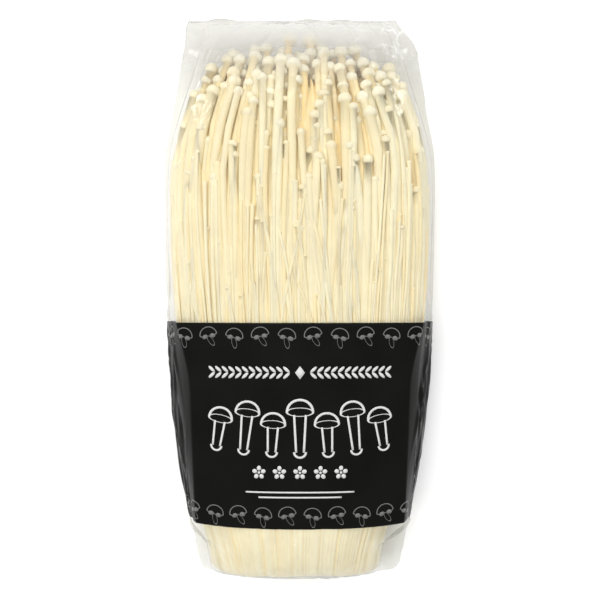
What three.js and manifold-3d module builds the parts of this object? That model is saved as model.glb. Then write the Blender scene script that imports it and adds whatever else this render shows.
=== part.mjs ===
// An enoki mushroom bunch in its clear film bag, with a black band printed round the lower part.
// Millimetres, +Z up. The pack lies on its back, with the caps towards +Y and the cut root end towards -Y.
// The origin is under the middle of the bag.

import * as THREE from 'three';
import { mergeVertices } from 'three/addons/utils/BufferGeometryUtils.js';
import Module from 'manifold-3d';

const wasm = await Module();
wasm.setup();

// The bag. It is cut flat underneath by flatDepth, so that it rests on its back.
const packLength = 187;
const packHalfWidth = 45.3;
const packThickness = 34;
const film = 0.6;
const clearance = 0.45;
const flatDepth = 1.2;
const mouthHeight = 9.5;
const mouthHalfThickness = 0.75;
const lipLength = 1.5;

const halfLength = packLength / 2;
const halfThickness = (packThickness + flatDepth) / 2;
const taperStart = 0.62 * halfLength;
const liftStart = 0.66 * halfLength;

// The printed band. The film is set in under it by bandRecess.
const bandTop = -8.5;
const bandFoot = -73.3;
const bandBow = 1.2;
const bandRecess = 1.0;
const recessSlope = 0.6;
const bandEdge = 0.1;

// The root plug and the stems grown together above it
const rootEnd = -91.4;
const plugMiddles = [-70, -36];
const shoulder = 2;
const shoulderRagged = 4;
const ribCount = 60;
const ribDepth = 1.1;

// The packed stems inside
const coreTop = 52;
const coreDepth = 4.3;
const coreDome = 4;
const coreSides = 40;
const coreRibDepth = 0.9;

// The mushrooms
const tallestTip = 87;
const domeAcross = 8;
const domeThrough = 6;
const stemRadius = 1.4;
const capRadius = 2.8;
const capHeight = 1.35;
const capCrowding = 0.96;
const outerStems = 54;
const innerStems = 46;
const innerSpread = { across: 0.82, through: 0.64 };
const roundSides = 5;

// Where the bag's rings lie along it
const bagSides = 48;
const sharesOfLength = (...shares) => shares.map((share) => share * halfLength);
const rootPlaces = sharesOfLength(-1, -0.975, -0.92);
const bandPlaces = [bandFoot, ...sharesOfLength(-0.72, -0.6, -0.35), bandTop];
const headPlaces = [
  ...sharesOfLength(0.2, 0.45, 0.6, 0.7, 0.76, 0.82, 0.88, 0.94), halfLength - lipLength, halfLength,
];

// A smooth curve through a few [place, value] stations, with places rising.
function profile(stations) {
  const slopes = stations.map((_, i) => {
    const before = stations[Math.max(i - 1, 0)];
    const after = stations[Math.min(i + 1, stations.length - 1)];
    return (after[1] - before[1]) / (after[0] - before[0]);
  });
  return (place) => {
    const passed = stations.filter((station) => station[0] <= place).length - 1;
    const i = THREE.MathUtils.clamp(passed, 0, stations.length - 2);
    const [start, from] = stations[i];
    const [end, to] = stations[i + 1];
    const t = THREE.MathUtils.clamp((place - start) / (end - start), 0, 1);
    const span = end - start;
    const ease = t * t * (3 - 2 * t);
    const rise = span * slopes[i] * t * (1 - t) * (1 - t);
    const fall = span * slopes[i + 1] * t * t * (t - 1);
    return from + (to - from) * ease + rise + fall;
  };
}

// Shares of half the length against shares of the widest half-width and the thickest half-thickness.
const bagWidth = profile([
  [-1, 0.7], [-0.95, 0.745], [-0.8, 0.808], [-0.48, 0.922], [-0.08, 0.98],
  [0.25, 1], [0.5, 0.996], [0.65, 0.94], [0.86, 0.855], [1, 0.765],
]);
const bagDepth = profile([
  [-1, 0.62], [-0.92, 0.82], [-0.75, 0.93], [-0.3, 0.99], [0.2, 1], [0.62, 0.96],
]);
const bunchWidth = profile([
  [-0.98, 0.618], [-0.87, 0.65], [-0.55, 0.83], [-0.1, 0.925], [0.25, 0.962],
  [0.5, 0.95], [0.64, 0.875], [0.79, 0.775], [0.87, 0.725], [0.95, 0.645],
]);

// How high the widest place of the section lies, as a share of the thickness: the sides bulge low down.
const sideHeight = profile([[-1, 0.42], [-0.8, 0.34], [0, 0.31], [0.6, 0.33], [0.85, 0.44], [1, 0.5]]);

// Exponents of the section's outline. A low one pinches the sides into the ears of flattened film.
const sidePinch = profile([[-1, 1.45], [-0.85, 1.65], [-0.6, 2.8], [0.6, 2.9], [0.85, 1.8], [1, 1.2]]);
const crownFlat = profile([[-1, 2.9], [-0.6, 3.1], [0.6, 3.1], [1, 2.6]]);
const bunchCorner = profile([[-0.9, 2.3], [-0.6, 2.8], [0.6, 2.8], [0.9, 2.4]]);

function halfWidthAt(y) {
  return packHalfWidth * bagWidth(y / halfLength);
}

// Past the caps the film comes down to the flat lip of the mouth, on a quarter wave.
function halfThicknessAt(y) {
  const full = halfThickness * bagDepth(y / halfLength);
  if (y <= taperStart) return full;
  const t = Math.min((y - taperStart) / (halfLength - lipLength - taperStart), 1);
  const left = Math.cos((t * Math.PI) / 2) ** 0.8;
  return mouthHalfThickness + (full - mouthHalfThickness) * Math.max(left, 0);
}

// Height of the section's widest place, and how far the section reaches above it and below it.
function sectionHeightsAt(y, depth) {
  const lift = THREE.MathUtils.smoothstep(y, liftStart, halfLength);
  const lowest = -flatDepth + lift * (mouthHeight - mouthHalfThickness + flatDepth);
  const thickness = 2 * halfThicknessAt(y);
  const rise = thickness * sideHeight(y / halfLength);
  return { side: lowest + rise, above: thickness - rise - depth, below: rise - depth };
}

// One quarter of a section's outline, from the side edge to the crown.
class QuarterSection extends THREE.Curve {
  constructor(halfWidth, halfDepth, crown, side) {
    super();
    this.halfWidth = halfWidth;
    this.halfDepth = halfDepth;
    this.crown = crown;
    this.side = side;
  }

  getPoint(t, target = new THREE.Vector3()) {
    const angle = (t * Math.PI) / 2;
    const x = this.halfWidth * Math.cos(angle) ** (2 / this.crown);
    const z = this.halfDepth * Math.sin(angle) ** (2 / this.side);
    return target.set(x, 0, z);
  }

  // A place on the whole outline: one turn leads round it at an even pace, from the +X side over the top.
  pointRound(turn) {
    const quarters = (((turn % 1) + 1) % 1) * 4;
    const side = Math.floor(quarters);
    const share = quarters - side;
    const point = this.getPointAt(side % 2 === 0 ? share : 1 - share);
    return new THREE.Vector3(side % 3 === 0 ? point.x : -point.x, 0, side < 2 ? point.z : -point.z);
  }
}

// The lower edge of the print bows: it sits lowest in the middle of the panels and highest at the sides.
function bowedPlace(y, share) {
  const towardFoot = THREE.MathUtils.smoothstep(-y, -bandTop, -bandFoot);
  const pastFoot = THREE.MathUtils.smoothstep(-y, -bandFoot, halfLength);
  const weight = y > bandFoot ? towardFoot : 1 - pastFoot;
  return y + bandBow * weight * share ** 4;
}

// A closed ring of points round the bag at one place along it, a given depth under its outer face.
function bagRing(y, depth) {
  const halfWidth = halfWidthAt(y) - depth;
  const { side, above, below } = sectionHeightsAt(y, depth);
  const share = y / halfLength;
  const upper = new QuarterSection(halfWidth, above, crownFlat(share), sidePinch(share));
  const lower = new QuarterSection(halfWidth, below, crownFlat(share), sidePinch(share));
  return Array.from({ length: bagSides }, (_, i) => {
    const section = i * 2 <= bagSides ? upper : lower;
    const { x, z } = section.pointRound(i / bagSides);
    return new THREE.Vector3(x, bowedPlace(y, Math.abs(x) / halfWidth), Math.max(side + z, depth));
  });
}

// A closed surface through rings of equal count, ended by a point at each end.
function loft(rings, startTip, endTip) {
  const sides = rings[0].length;
  const points = [startTip, ...rings.flat(), endTip];
  const lastRing = 1 + (rings.length - 1) * sides;
  const faces = [];
  for (let i = 0; i < sides; i += 1) {
    const next = (i + 1) % sides;
    faces.push(0, 1 + i, 1 + next);
    faces.push(points.length - 1, lastRing + next, lastRing + i);
    for (let r = 0; r < rings.length - 1; r += 1) {
      const low = 1 + r * sides;
      const high = low + sides;
      faces.push(low + i, high + i, low + next);
      faces.push(low + next, high + i, high + next);
    }
  }
  return surface(points, faces);
}

// A closed surface through rings that lead back to the first one, as round a sleeve.
function closedLoft(rings) {
  const sides = rings[0].length;
  const faces = [];
  rings.forEach((_, r) => {
    const low = r * sides;
    const high = ((r + 1) % rings.length) * sides;
    for (let i = 0; i < sides; i += 1) {
      const next = (i + 1) % sides;
      faces.push(low + i, high + i, low + next);
      faces.push(low + next, high + i, high + next);
    }
  });
  return surface(rings.flat(), faces);
}

function surface(points, faces) {
  const geometry = new THREE.BufferGeometry().setFromPoints(points);
  geometry.setIndex(faces);
  return geometry;
}

function middleOf(ring) {
  const sum = ring.reduce((total, point) => total.add(point), new THREE.Vector3());
  return sum.divideScalar(ring.length);
}

function toSolid(geometry) {
  const merged = mergeVertices(geometry, 1e-4);
  const vertProperties = new Float32Array(merged.attributes.position.array);
  const triVerts = new Uint32Array(merged.index.array);
  return new wasm.Manifold(new wasm.Mesh({ numProp: 3, vertProperties, triVerts }));
}

function toGeometry(solid) {
  const mesh = solid.getMesh();
  const geometry = new THREE.BufferGeometry();
  geometry.setAttribute('position', new THREE.BufferAttribute(mesh.vertProperties, 3));
  geometry.setIndex(new THREE.BufferAttribute(mesh.triVerts, 1));
  return geometry;
}

// The film is one sheet: it runs up inside from the root end to the mouth, turns over the lip and comes back
// down outside. The mouth stays open by a slit of a hair's width. Under the print the film is set in.
function filmBag() {
  const outerPlaces = [
    ...rootPlaces, bandFoot - recessSlope, ...bandPlaces, bandTop + recessSlope, ...headPlaces,
  ];
  const depthAt = (y) => (y >= bandFoot && y <= bandTop ? bandRecess : 0);
  const innerPlaces = outerPlaces.map((y) => (y === -halfLength ? y + film : y));
  const outside = outerPlaces.map((y) => bagRing(y, depthAt(y)));
  const inside = innerPlaces.map((y) => bagRing(y, depthAt(y) + film));
  const rings = [...outside, ...inside.reverse()];
  return loft(rings, middleOf(outside[0]), middleOf(rings[rings.length - 1]));
}

function printedBand() {
  const places = [bandFoot + bandEdge, ...bandPlaces.slice(1, -1), bandTop - bandEdge];
  const outside = places.map((y) => bagRing(y, bandEdge));
  const inside = places.map((y) => bagRing(y, bandEdge + film));
  return closedLoft([...outside, ...inside.reverse()]);
}

// How far the mushrooms keep under the outer face of the bag.
function bunchDepthAt(y) {
  const pastBand = THREE.MathUtils.smoothstep(y, bandTop + 6, bandTop + 20);
  return film + clearance + bandRecess * (1 - pastBand);
}

// Half-width of the bunch at one place along it, for a shape kept a depth inside it.
function bunchHalfWidthAt(y, depth) {
  const grown = packHalfWidth * bunchWidth(y / halfLength) - depth;
  return Math.min(grown, halfWidthAt(y) - bunchDepthAt(y) - depth);
}

// A place in the bunch, from shares of its half-width and of its reach above or below the widest place.
function bunchPoint(y, across, through, depth) {
  const under = bunchDepthAt(y) + depth;
  const { side, above, below } = sectionHeightsAt(y, under);
  const corner = bunchCorner(y / halfLength);
  const reach = (Math.abs(across) ** corner + Math.abs(through) ** corner) ** (1 / corner);
  const within = Math.max(reach, 1);
  const height = side + ((through > 0 ? above : below) * through) / within;
  return new THREE.Vector3((bunchHalfWidthAt(y, depth) * across) / within, y, Math.max(height, under));
}

// Shares of half-width and of the reach above or below, at an even pace round the outside of the bunch.
function sharesRound(turn) {
  const { above, below } = sectionHeightsAt(shoulder, bunchDepthAt(shoulder));
  const corner = bunchCorner(0);
  const halfWidth = bunchHalfWidthAt(shoulder, 0);
  const upper = new QuarterSection(halfWidth, above, corner, corner);
  const lower = new QuarterSection(halfWidth, below, corner, corner);
  const upperShare = upper.getLength() / (upper.getLength() + lower.getLength());
  const place = ((turn % 1) + 1) % 1;
  const onTop = place < upperShare;
  const section = onTop ? upper : lower;
  const along = onTop ? place / upperShare / 2 : (1 + (place - upperShare) / (1 - upperShare)) / 2;
  const { x, z } = section.pointRound(along);
  return { across: x / halfWidth, through: z / (onTop ? above : below) };
}

// Random numbers between 0 and 1, the same on every run.
function seededRandom(seed) {
  let state = seed;
  return () => {
    state = (state + 0x6d2b79f5) | 0;
    let mixed = Math.imul(state ^ (state >>> 15), 1 | state);
    mixed = (mixed + Math.imul(mixed ^ (mixed >>> 7), 61 | mixed)) ^ mixed;
    return ((mixed ^ (mixed >>> 14)) >>> 0) / 2 ** 32;
  };
}

// A ribbed or smooth body through a few levels, each with its depth under the outside of the bunch.
function ribbedBody(levels, ribs, raise, topRise) {
  const shares = ribs.map((_, i) => sharesRound(i / ribs.length));
  const rings = levels.map(({ y, depth, ragged = 0 }) => ribs.map((rib, i) => {
    const { across, through } = shares[i];
    return bunchPoint(y + ragged * raise[i], across, through, depth + rib);
  }));
  const top = middleOf(rings[rings.length - 1]).add(new THREE.Vector3(0, topRise, 0));
  return toSolid(loft(rings, middleOf(rings[0]), top));
}

// The root plug, cut flat at its end, and the stems grown together above it, up to a ragged shoulder.
function rootPlug(random) {
  const corners = ribCount * 2;
  const ribs = Array.from({ length: corners }, (_, i) => (i % 2 === 0 ? 0 : ribDepth * (0.5 + random())));
  const raise = Array.from({ length: corners }, () => shoulderRagged * (random() - 0.5));
  const levels = [
    ...[rootEnd, ...plugMiddles].map((y) => ({ y, depth: 0 })),
    { y: shoulder - 3, depth: 0, ragged: 1 }, { y: shoulder + 3, depth: coreDepth * 1.3, ragged: 1 },
  ];
  return ribbedBody(levels, ribs, raise, 0);
}

// The packed stems inside, which the outer ones stand clear of.
function innerCore(random) {
  const ribs = Array.from({ length: coreSides }, (_, i) => (i % 2 === 0 ? 0 : coreRibDepth * random()));
  const raise = ribs.map(() => 0);
  const levels = [
    { y: shoulder - 6, depth: coreDepth }, { y: shoulder + 22, depth: coreDepth },
    { y: coreTop - 8, depth: coreDepth }, { y: coreTop, depth: coreDepth * 1.6 },
  ];
  return ribbedBody(levels, ribs, raise, coreDome);
}

// One mushroom: a slender stem that waves a little on its way up, and a small round cap.
function mushroom({ across, through, rootY, tipY, stem, cap, bands, wave, phase }) {
  const neck = tipY - capHeight * cap;
  const levels = [];
  for (let i = 0; i <= bands; i += 1) {
    const share = i / bands;
    levels.push({ y: rootY + (neck - rootY) * share, radius: stem * (1.08 - 0.16 * share) });
  }
  levels.push({ y: neck + 0.4 * cap, radius: cap }, { y: neck + 0.95 * cap, radius: 0.75 * cap });
  const axis = (y) => {
    const share = (y - rootY) / (tipY - rootY);
    const sway = wave * Math.sin(share * 5 + phase) * share;
    const depth = stem + (cap - stem) * THREE.MathUtils.smoothstep(share, 0.6, 1);
    return bunchPoint(y, across + sway / bunchHalfWidthAt(y, depth), through, depth);
  };
  const rings = levels.map(({ y, radius }) => {
    const centre = axis(y);
    return Array.from({ length: roundSides }, (_, i) => {
      const angle = phase + (i / roundSides) * Math.PI * 2;
      return centre.clone().add(new THREE.Vector3(radius * Math.cos(angle), 0, radius * Math.sin(angle)));
    });
  });
  return toSolid(loft(rings, middleOf(rings[0]), axis(tipY)));
}

// The tips form a dome: highest in the middle of the bunch, lower towards its sides and faces.
function domeAt(across, through) {
  return tallestTip - domeAcross * across * across - domeThrough * through * through;
}

// A ring of mushrooms round the outside of the bunch. Every third one is slim and stays short.
function outerPlaces(random) {
  return Array.from({ length: outerStems }, (_, i) => {
    const { across, through } = sharesRound((i + 0.4 * (random() - 0.5)) / outerStems);
    const short = i % 3 === 1;
    const size = short ? 0.6 + 0.15 * random() : 0.9 + 0.2 * random();
    const drop = short ? 28 + 38 * random() : 26 * random() ** 1.5;
    return { across, through, size, drop, rootY: shoulder - 7, bands: short ? 2 : 3, wave: 0.5 * random() };
  });
}

// Mushrooms spread evenly inside the ring, by two steps that never fall in line. They come out of the core.
function innerPlaces(random) {
  const evenly = (i, step) => 2 * ((0.5 + i * step) % 1) - 1;
  return Array.from({ length: innerStems }, (_, i) => {
    const across = innerSpread.across * evenly(i, 0.7549);
    const through = innerSpread.through * evenly(i, 0.5698);
    const size = 0.85 + 0.25 * random();
    return { across, through, size, drop: 9 * random(), rootY: coreTop - 12, bands: 1, wave: random() };
  });
}

// Each tip comes down from the dome until its cap has room beside the caps already placed.
function settledTip({ across, through, drop }, cap, taken) {
  for (let tipY = domeAt(across, through) - drop; tipY > shoulder + 12; tipY -= 1.5) {
    const centre = bunchPoint(tipY - 0.7 * cap, across, through, cap);
    if (taken.every((other) => other.centre.distanceTo(centre) > capCrowding * (other.cap + cap))) {
      taken.push({ centre, cap });
      return tipY;
    }
  }
  return null;
}

function mushroomBunch() {
  const random = seededRandom(2611);
  const solids = [rootPlug(random), innerCore(random)];
  const taken = [];
  [...outerPlaces(random), ...innerPlaces(random)].forEach((place) => {
    const cap = capRadius * place.size;
    const tipY = settledTip(place, cap, taken);
    if (tipY === null || tipY < place.rootY + 14) return;
    solids.push(mushroom({ ...place, tipY, cap, stem: stemRadius * place.size, phase: random() * 6.3 }));
  });
  return toGeometry(wasm.Manifold.union(solids));
}

const material = (color, roughness, settings = {}) =>
  new THREE.MeshStandardMaterial({ color, roughness, metalness: 0, ...settings });

function named(name, geometry, finish) {
  const mesh = new THREE.Mesh(geometry, finish);
  mesh.name = name;
  return mesh;
}

const group = new THREE.Group();
group.add(named('mushroom_bunch', mushroomBunch(), material('#f0e4c0', 0.6)));
group.add(named('film_bag', filmBag(), material('#f4f2ec', 0.2, { transparent: true, opacity: 0.25 })));
group.add(named('printed_band', printedBand(), material('#1c1c1b', 0.4)));

export default group;
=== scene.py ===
"""An enoki mushroom bunch in its clear film bag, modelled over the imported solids.

The pack lies on its back, with the caps towards +Y and the cut root end towards -Y. Sizes are in
millimetres, and turn into Blender's metres where a mesh is placed.
"""

import logging
import math
from dataclasses import dataclass, field
from enum import Enum

import bpy
import numpy as np
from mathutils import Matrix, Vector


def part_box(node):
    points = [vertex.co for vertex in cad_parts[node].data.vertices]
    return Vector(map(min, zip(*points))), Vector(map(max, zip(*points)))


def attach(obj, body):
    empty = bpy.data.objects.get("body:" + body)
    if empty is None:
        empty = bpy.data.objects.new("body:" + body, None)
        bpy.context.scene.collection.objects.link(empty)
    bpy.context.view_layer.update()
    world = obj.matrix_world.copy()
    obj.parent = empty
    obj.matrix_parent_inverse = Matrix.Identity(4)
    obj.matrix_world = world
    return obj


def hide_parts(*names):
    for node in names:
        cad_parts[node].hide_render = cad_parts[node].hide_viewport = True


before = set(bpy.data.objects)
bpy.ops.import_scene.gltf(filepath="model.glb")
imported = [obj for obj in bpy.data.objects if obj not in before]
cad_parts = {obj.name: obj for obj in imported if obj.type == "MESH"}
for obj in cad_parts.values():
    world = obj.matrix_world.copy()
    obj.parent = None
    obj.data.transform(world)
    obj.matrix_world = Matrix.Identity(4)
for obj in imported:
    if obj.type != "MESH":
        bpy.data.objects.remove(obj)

MM = 0.001
log = logging.getLogger("enoki_pack")

Array = np.ndarray
Shape = tuple[Array, list]
Piece = bpy.types.Object
Finish = bpy.types.Material
Tree = bpy.types.NodeTree
Socket = bpy.types.NodeSocket


def smooth_between(value: Array | float, low: float, high: float) -> Array | float:
    """Rise smoothly from 0 at low to 1 at high.

    Args:
        value: Places to judge.
        low: Place where the rise starts.
        high: Place where the rise ends.

    Returns:
        The share from 0 to 1 at each place.
    """
    t = np.clip((value - low) / (high - low), 0, 1)
    return t * t * (3 - 2 * t)


def linear_colour(hex_colour: str) -> tuple[float, float, float, float]:
    """Turn an sRGB hex colour into Blender's linear colour.

    Args:
        hex_colour: Six hex digits, with or without a leading #.

    Returns:
        Red, green, blue and an alpha of 1.
    """
    digits = hex_colour.lstrip("#")
    shares = [int(digits[i : i + 2], 16) / 255 for i in (0, 2, 4)]
    linear = [s / 12.92 if s <= 0.04045 else ((s + 0.055) / 1.055) ** 2.4 for s in shares]
    return (linear[0], linear[1], linear[2], 1.0)


@dataclass(frozen=True)
class Profile:
    """A smooth curve through a few stations, each a place and a value, with places rising."""

    stations: tuple[tuple[float, float], ...]

    def at(self, place: Array | float) -> Array:
        """Read the curve.

        Args:
            place: Places along the curve.

        Returns:
            The value at each place.
        """
        places, values = np.array(self.stations).T
        inner = (values[2:] - values[:-2]) / (places[2:] - places[:-2])
        first = (values[1] - values[0]) / (places[1] - places[0])
        last = (values[-1] - values[-2]) / (places[-1] - places[-2])
        slopes = np.concatenate([[first], inner, [last]])
        asked = np.asarray(place, float)
        i = np.clip(np.searchsorted(places, asked, side="right") - 1, 0, len(places) - 2)
        span = places[i + 1] - places[i]
        t = np.clip((asked - places[i]) / span, 0, 1)
        ease = t * t * (3 - 2 * t)
        rise = span * slopes[i] * t * (1 - t) ** 2
        fall = span * slopes[i + 1] * t * t * (t - 1)
        return values[i] + (values[i + 1] - values[i]) * ease + rise + fall


# Shares of half the pack's length against shares of its half-width, as in the part's own source
FILM_WIDTH = Profile((
    (-1, 0.7), (-0.95, 0.745), (-0.8, 0.808), (-0.48, 0.922), (-0.08, 0.98),
    (0.25, 1), (0.5, 0.996), (0.65, 0.94), (0.86, 0.855), (1, 0.765),
))
BUNCH_WIDTH = Profile((
    (-0.98, 0.618), (-0.87, 0.65), (-0.55, 0.83), (-0.1, 0.925), (0.25, 0.962),
    (0.5, 0.95), (0.64, 0.875), (0.79, 0.775), (0.87, 0.725), (0.95, 0.645), (1, 0.6),
))
FILM_DEPTH = Profile(((-1, 0.62), (-0.92, 0.82), (-0.75, 0.93), (-0.3, 0.99), (0.2, 1), (0.62, 0.96)))
SIDE_HEIGHT = Profile(((-1, 0.42), (-0.8, 0.34), (0, 0.31), (0.6, 0.33), (0.85, 0.44), (1, 0.5)))
SECTION_CORNER = Profile(((-1, 2.3), (-0.6, 2.8), (0.6, 2.8), (0.8, 2.4), (1, 2)))

# Where the front panel's creases run under the print, in millimetres from the pack's middle line
CREASE_REACH = Profile(((-80, 32.5), (-73, 33.2), (-34, 34.4), (-26, 34.9), (-19, 36.3), (-9, 38.8)))


@dataclass(frozen=True)
class FoldGroup:
    """Sharp little folds in one part of the film.

    Sizes are in millimetres, and ranges go from the least to the most. Places round the film are counted
    from its crown, and are minus on the left.
    """

    count: int
    along: tuple[float, float]
    around: tuple[float, float]
    tilt: float
    length: tuple[float, float]
    width: tuple[float, float]
    height: tuple[float, float]

    def heights(self, y: Array, around: Array, random: np.random.Generator) -> Array:
        """Add up the group's folds.

        Args:
            y: Places along the pack.
            around: Places round the film.
            random: Seeded source of variety.

        Returns:
            How far the film stands off its even section at each place.
        """
        total = np.zeros_like(y)
        for _ in range(self.count):
            centre_y = random.uniform(*self.along)
            centre_s = random.uniform(*self.around)
            angle = random.normal(0, self.tilt)
            length, width = random.uniform(*self.length), random.uniform(*self.width)
            height = random.uniform(*self.height) * random.choice([-1, 1])
            along = (y - centre_y) * math.cos(angle) + (around - centre_s) * math.sin(angle)
            aside = (around - centre_s) * math.cos(angle) - (y - centre_y) * math.sin(angle)
            fold = np.clip(1 - np.abs(aside) / width, 0, 1) ** 1.5
            total += height * fold * np.exp(-((along / length) ** 2))
        return total


FOLD_GROUPS = (
    FoldGroup(90, (62, 92), (-90, 90), 0.5, (5, 16), (0.6, 1.6), (0.12, 0.45)),
    FoldGroup(24, (76, 93), (18, 44), 1.0, (3, 9), (0.7, 1.4), (0.3, 0.7)),
    FoldGroup(60, (-92, -76), (-90, 90), 0.9, (5, 16), (0.6, 1.6), (0.12, 0.45)),
    FoldGroup(30, (-72, -8), (-47, -34), 0.1, (5, 22), (0.7, 1.5), (0.3, 0.7)),
    FoldGroup(30, (-72, -8), (34, 47), 0.1, (5, 22), (0.7, 1.5), (0.3, 0.7)),
    FoldGroup(7, (-6, 60), (-60, -30), 0.2, (8, 20), (0.7, 1.6), (0.1, 0.3)),
    FoldGroup(7, (-6, 60), (30, 60), 0.2, (8, 20), (0.7, 1.6), (0.1, 0.3)),
)


@dataclass
class PackShape:
    """The sections of the pack, from which the film, the print and the mushrooms take their places."""

    half_length: float
    half_width: float
    thickness: float
    band_foot: float
    band_top: float
    flat_depth: float = 1.2
    lip_height: float = 9.5
    lip_half_thickness: float = 0.35
    lip_length: float = 1.5
    crease_drop: float = 5.2
    fin_height: float = 3.2
    bunch_gap: float = 0.35
    band_bow: float = 1.2
    root_shift: float = -1.5
    mouth_skew: float = 2.6
    rows: int = 375
    quarter: int = 121
    half_turn: int = 361
    taper_from: float = 0.62
    lift_from: float = 0.66
    crease_share: float = 0.6
    fold_seed: int = 77
    points: Array = field(init=False)
    normals: Array = field(init=False)
    upper_length: Array = field(init=False)
    lower_length: Array = field(init=False)

    @classmethod
    def from_frame(cls) -> "PackShape":
        """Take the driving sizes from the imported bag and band."""
        low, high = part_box("film_bag")
        band_low, band_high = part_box("printed_band")
        size = (high - low) / MM
        return cls(size.y / 2, size.x / 2, size.z, band_low.y / MM, band_high.y / MM)

    def __post_init__(self) -> None:
        """Work out the even table of section points that all lookups read."""
        y = np.linspace(-self.half_length, self.half_length, self.rows)
        halves = [self._even_half(y, side) for side in (-1, 1)]
        left = halves[0][0][:, ::-1]
        right = halves[1][0]
        self.points = np.concatenate([left, right[:, 1:]], axis=1)
        self.upper_length = halves[1][1]
        self.lower_length = halves[1][2]
        along = np.gradient(self.points, axis=0)
        around = np.gradient(self.points, axis=1)
        normals = np.cross(around, along)
        lengths = np.linalg.norm(normals, axis=2, keepdims=True)
        self.normals = normals / np.maximum(lengths, 1e-9)
        self.points = self.points + self.normals * self._folds(y)[..., None]

    def _folds(self, y: Array) -> Array:
        """Heights of all the folds over the table of section points, none of them at the seam underneath."""
        random = np.random.default_rng(self.fold_seed)
        share = np.linspace(-1, 1, self.points.shape[1])
        places, shares = np.meshgrid(y, share, indexing="ij")
        total = sum(group.heights(places, 90 * shares, random) for group in FOLD_GROUPS)
        return total * (1 - smooth_between(np.abs(shares), 0.9, 0.98))

    def heights(self, y: Array) -> tuple[Array, Array, Array]:
        """Heights of a section's crown, widest place and underside.

        Args:
            y: Places along the pack.

        Returns:
            The three heights at each place.
        """
        share = y / self.half_length
        half = (self.thickness + self.flat_depth) / 2 * FILM_DEPTH.at(share)
        taper_start = self.taper_from * self.half_length
        t = np.clip((y - taper_start) / (self.half_length - self.lip_length - taper_start), 0, 1)
        left = np.maximum(np.cos(t * math.pi / 2), 0) ** 0.8
        half = self.lip_half_thickness + (half - self.lip_half_thickness) * left
        lift = smooth_between(y, self.lift_from * self.half_length, self.half_length)
        lowest = -self.flat_depth + lift * (self.lip_height - self.lip_half_thickness + self.flat_depth)
        waist = lowest + 2 * half * SIDE_HEIGHT.at(share)
        return lowest + 2 * half, waist, np.maximum(lowest, 0.03)

    def shift(self, y: Array) -> Array:
        """How far the bunch lies off the middle line: a little to the left at its root."""
        return self.root_shift * (1 - smooth_between(y, -80, -30))

    def _even_half(self, y: Array, side: int) -> tuple[Array, Array, Array]:
        """Points at an even pace round half of each section, from its crown to its underside.

        Args:
            y: Places along the pack.
            side: 1 for the right half and -1 for the left.

        Returns:
            The points, and the lengths of the upper and the lower quarter at each place.
        """
        x, z = self._raw_half(y, side)
        middle = x.shape[1] // 2
        rows, uppers, lowers = [], [], []
        for i, place in enumerate(y):
            quarters = []
            for part in (slice(0, middle + 1), slice(middle, None)):
                px, pz = x[i, part], z[i, part]
                run = np.concatenate([[0], np.cumsum(np.hypot(np.diff(px), np.diff(pz)))])
                even = np.linspace(0, run[-1], self.quarter)
                quarters.append((np.interp(even, run, px), np.interp(even, run, pz), run[-1]))
            (ux, uz, upper), (lx, lz, lower) = quarters
            across = np.concatenate([ux, lx[1:]]) * side
            height = np.concatenate([uz, lz[1:]])
            rows.append(np.stack([across, np.full_like(across, place), height], axis=1))
            uppers.append(upper)
            lowers.append(lower)
        return np.array(rows), np.array(uppers), np.array(lowers)

    def _raw_half(self, y: Array, side: int) -> tuple[Array, Array]:
        """One half of each section before it is evened out.

        Clear film hugs the mushrooms and ends in a thin fin at its side. Under the print it spans the front
        panel between two creases, and slopes down from them to its widest place.

        Args:
            y: Places along the pack.
            side: 1 for the right half and -1 for the left.

        Returns:
            Distances from the middle line and heights, a row for each place.
        """
        y = y[:, None]
        turn = np.linspace(0, math.pi, self.half_turn)[None, :]
        top, waist, bottom = self.heights(y)
        share = y / self.half_length
        outline = self.half_width * FILM_WIDTH.at(share) - side * self.mouth_skew * smooth_between(y, 82, 92)
        wall = self.half_width * BUNCH_WIDTH.at(share) + side * self.shift(y) + self.bunch_gap
        wall = np.minimum(wall, outline)
        corner = SECTION_CORNER.at(share)
        lean = np.cos(turn)
        raised = np.abs(lean) ** (2 / corner)
        rise = np.where(lean >= 0, (top - waist) * raised, (bottom - waist) * raised)
        near_side = np.clip(1 - np.abs(rise) / self.fin_height, 0, 1) ** 2
        spread = np.abs(np.sin(turn)) ** (2 / corner)
        hug_x = (wall + (outline - wall) * near_side) * spread
        hug_z = waist + rise

        crease_turn = self.crease_share * math.pi / 2
        crease_x = CREASE_REACH.at(y)
        crease_z = top - self.crease_drop
        over = np.clip(turn / crease_turn, 0, 1)
        down = np.clip((turn - crease_turn) / (math.pi / 2 - crease_turn), 0, 1)
        bend_x = outline - 0.12 * (outline - crease_x)
        bend_z = waist + 0.5 * (crease_z - waist)
        slope_x = (1 - down) ** 2 * crease_x + 2 * down * (1 - down) * bend_x + down**2 * outline
        slope_z = (1 - down) ** 2 * crease_z + 2 * down * (1 - down) * bend_z + down**2 * waist
        panel_z = top - self.crease_drop * over**2.2
        under_x = outline * spread
        panel_x = np.where(turn <= crease_turn, crease_x * over, slope_x)
        panel_x = np.where(turn <= math.pi / 2, panel_x, under_x)
        panel_z = np.where(turn <= crease_turn, panel_z, slope_z)
        panel_z = np.where(turn <= math.pi / 2, panel_z, hug_z)

        stretched = smooth_between(y, self.band_foot - 9, self.band_foot - 1)
        stretched = stretched * (1 - smooth_between(y, self.band_top, self.band_top + 14))
        return hug_x + (panel_x - hug_x) * stretched, hug_z + (panel_z - hug_z) * stretched

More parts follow.
